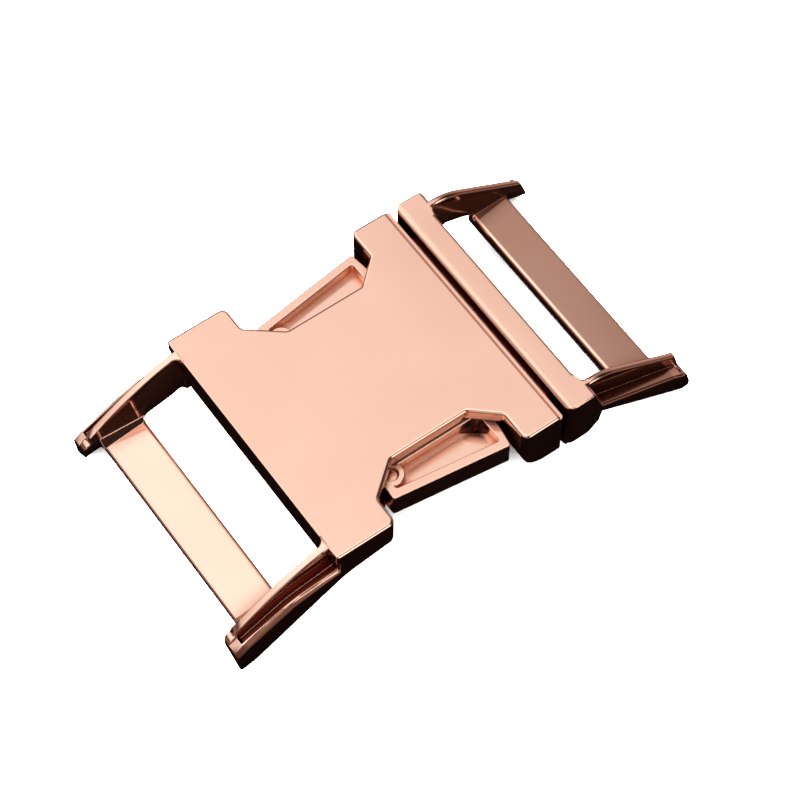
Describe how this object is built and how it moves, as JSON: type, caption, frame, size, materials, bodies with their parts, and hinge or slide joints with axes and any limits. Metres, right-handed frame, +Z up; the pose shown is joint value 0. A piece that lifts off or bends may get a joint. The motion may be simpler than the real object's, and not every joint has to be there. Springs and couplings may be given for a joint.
{
  "type": "side release buckle",
  "caption": "Contoured metal side release buckle, fastened, with a flat-topped socket, an insert with latch levers in finger windows, and a webbing slot at each end",
  "frame": {"origin": "On the surface that the four arm tips rest on, below the middle of the buckle's length and width", "axes": "X runs along the webbing, from the socket's crossbar to the insert's. Y runs across the buckle. Z is up, towards the flat top that faces away from the wearer"},
  "size_m": [0.0638, 0.034, 0.0121],
  "materials": {
    "plated_casting": "mirror-polished rose gold plating on a zinc alloy casting",
    "plated_pin": "polished rose gold plating on a steel pin"
  },
  "bodies": {
    "buckle": {"socket": "plated_casting", "insert": "plated_casting", "pivot_pin_left": "plated_pin", "pivot_pin_right": "plated_pin"},
    "left_lever": {"lever_left": "plated_casting"},
    "right_lever": {"lever_right": "plated_casting"}
  },
  "joints": [
    {"name": "left_lever_press", "type": "hinge", "parent": "buckle", "child": "left_lever", "pos_m": [-0.00683, 0.0108, 0.0081], "axis": [0, 0, -1], "range_deg": [0, 10], "stiffness_Nm_per_rad": 0.5, "springref_deg": -5.73},
    {"name": "right_lever_press", "type": "hinge", "parent": "buckle", "child": "right_lever", "pos_m": [-0.00683, -0.0108, 0.0081], "axis": [0, 0, 1], "range_deg": [0, 10], "stiffness_Nm_per_rad": 0.5, "springref_deg": -5.73}
  ]
}
